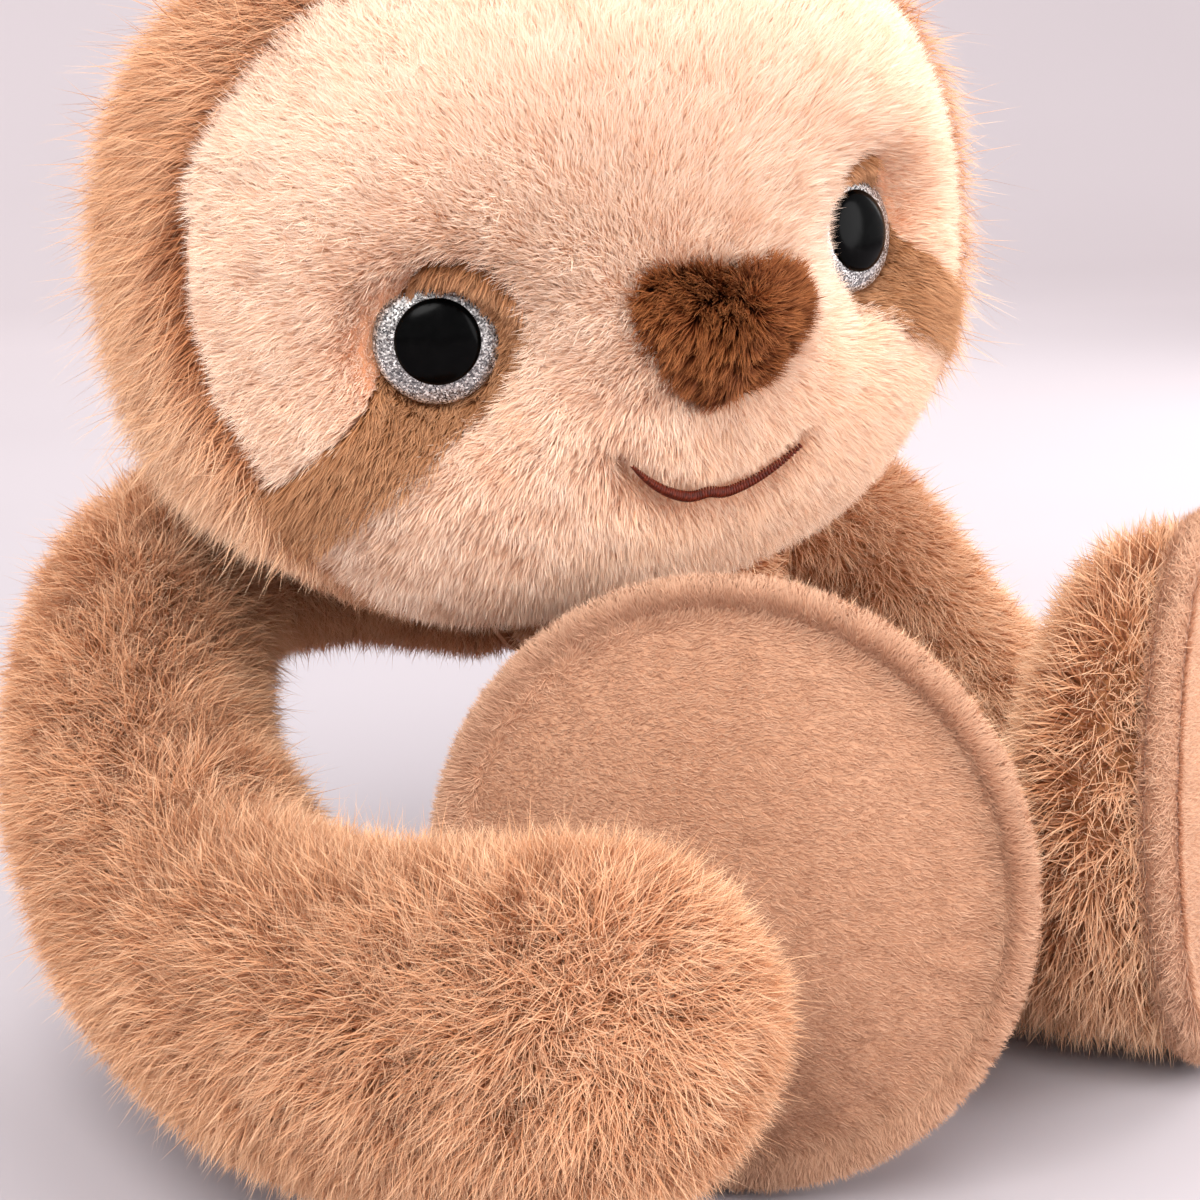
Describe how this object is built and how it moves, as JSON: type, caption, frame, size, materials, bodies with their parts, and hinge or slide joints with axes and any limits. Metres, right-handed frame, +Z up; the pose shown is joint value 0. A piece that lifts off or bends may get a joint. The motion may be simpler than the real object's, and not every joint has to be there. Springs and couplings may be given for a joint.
{
  "type": "plush sloth",
  "caption": "Sitting plush sloth with a large round head, glitter eyes, a sewn smile and one long arm curled round its own flat-soled foot.",
  "frame": {"origin": "middle of the flat patch that the seat is pressed to, on the floor plane", "axes": "+Z up; -Y is the way the body faces; +X is the toy's left"},
  "size_m": [0.2687, 0.1956, 0.1909],
  "materials": {
    "tan_fur": "Long tan pile cloth with brown roots, soft and matte",
    "cream_plush": "Cream short-pile plush, soft and matte",
    "brown_plush": "Short mid-brown pile cloth",
    "dark_plush": "Short dark-brown pile cloth",
    "smile_thread": "Dark-brown rayon thread in satin stitch, slight sheen",
    "seam_thread": "Tan sewing thread",
    "peach_velour": "Peach velour with a faint horizontal nap",
    "silver_glitter": "Clear plastic dome over silver glitter",
    "black_gloss": "Polished black plastic",
    "white_plastic": "Plain white moulded plastic",
    "white_stuffing": "White polyester stuffing",
    "pellet_cloth": "Plain woven cloth round plastic pellets"
  },
  "bodies": {
    "torso": {"body_cover": "tan_fur", "body_filling": "white_stuffing", "pellet_pouch": "pellet_cloth", "shoulder_seam_left": "seam_thread", "shoulder_seam_right": "seam_thread", "hip_seam_left": "seam_thread", "hip_seam_right": "seam_thread"},
    "neck": {"neck_seam_thread": "seam_thread"},
    "head": {"head_cover": "tan_fur", "face_panel": "cream_plush", "head_filling": "white_stuffing", "eye_patch_left": "brown_plush", "eye_patch_right": "brown_plush", "eye_left": "silver_glitter", "eye_right": "silver_glitter", "pupil_left": "black_gloss", "pupil_right": "black_gloss", "eye_washer_left": "white_plastic", "eye_washer_right": "white_plastic", "nose_patch": "dark_plush", "mouth_embroidery": "smile_thread"},
    "arm_left": {"arm_left_cover": "tan_fur", "arm_left_filling": "white_stuffing"},
    "arm_right": {"arm_right_cover": "tan_fur", "arm_right_filling": "white_stuffing"},
    "leg_left": {"leg_left_cover": "tan_fur", "leg_left_filling": "white_stuffing", "foot_sole_left": "peach_velour", "sole_welt_left": "peach_velour"},
    "leg_right": {"leg_right_cover": "tan_fur", "leg_right_filling": "white_stuffing", "foot_sole_right": "peach_velour", "sole_welt_right": "peach_velour"}
  },
  "joints": [
    {"name": "head_turn", "type": "hinge", "parent": "torso", "child": "neck", "pos_m": [-0.008, 0.01, 0.074], "axis": [0, 0, 1], "range_deg": [-3, 7]},
    {"name": "head_nod", "type": "hinge", "parent": "neck", "child": "head", "pos_m": [-0.008, 0.01, 0.074], "axis": [1, 0, 0], "range_deg": [-1.5, 2]},
    {"name": "arm_left_swing", "type": "hinge", "parent": "torso", "child": "arm_left", "pos_m": [0.0213, 0.02499, 0.08252], "axis": [0, 0, 1], "range_deg": [-1, 38]},
    {"name": "arm_right_lift", "type": "hinge", "parent": "torso", "child": "arm_right", "pos_m": [-0.02905, 0.03648, 0.07061], "axis": [1, 0, 0], "range_deg": [-18, 0]},
    {"name": "leg_left_splay", "type": "hinge", "parent": "torso", "child": "leg_left", "pos_m": [0.04213, -0.02911, 0.02147], "axis": [0, 0, 1], "range_deg": [-22, 5]},
    {"name": "leg_right_splay", "type": "hinge", "parent": "torso", "child": "leg_right", "pos_m": [-0.01696, -0.04091, 0.02152], "axis": [0, 0, 1], "range_deg": [-15, 0]}
  ]
}
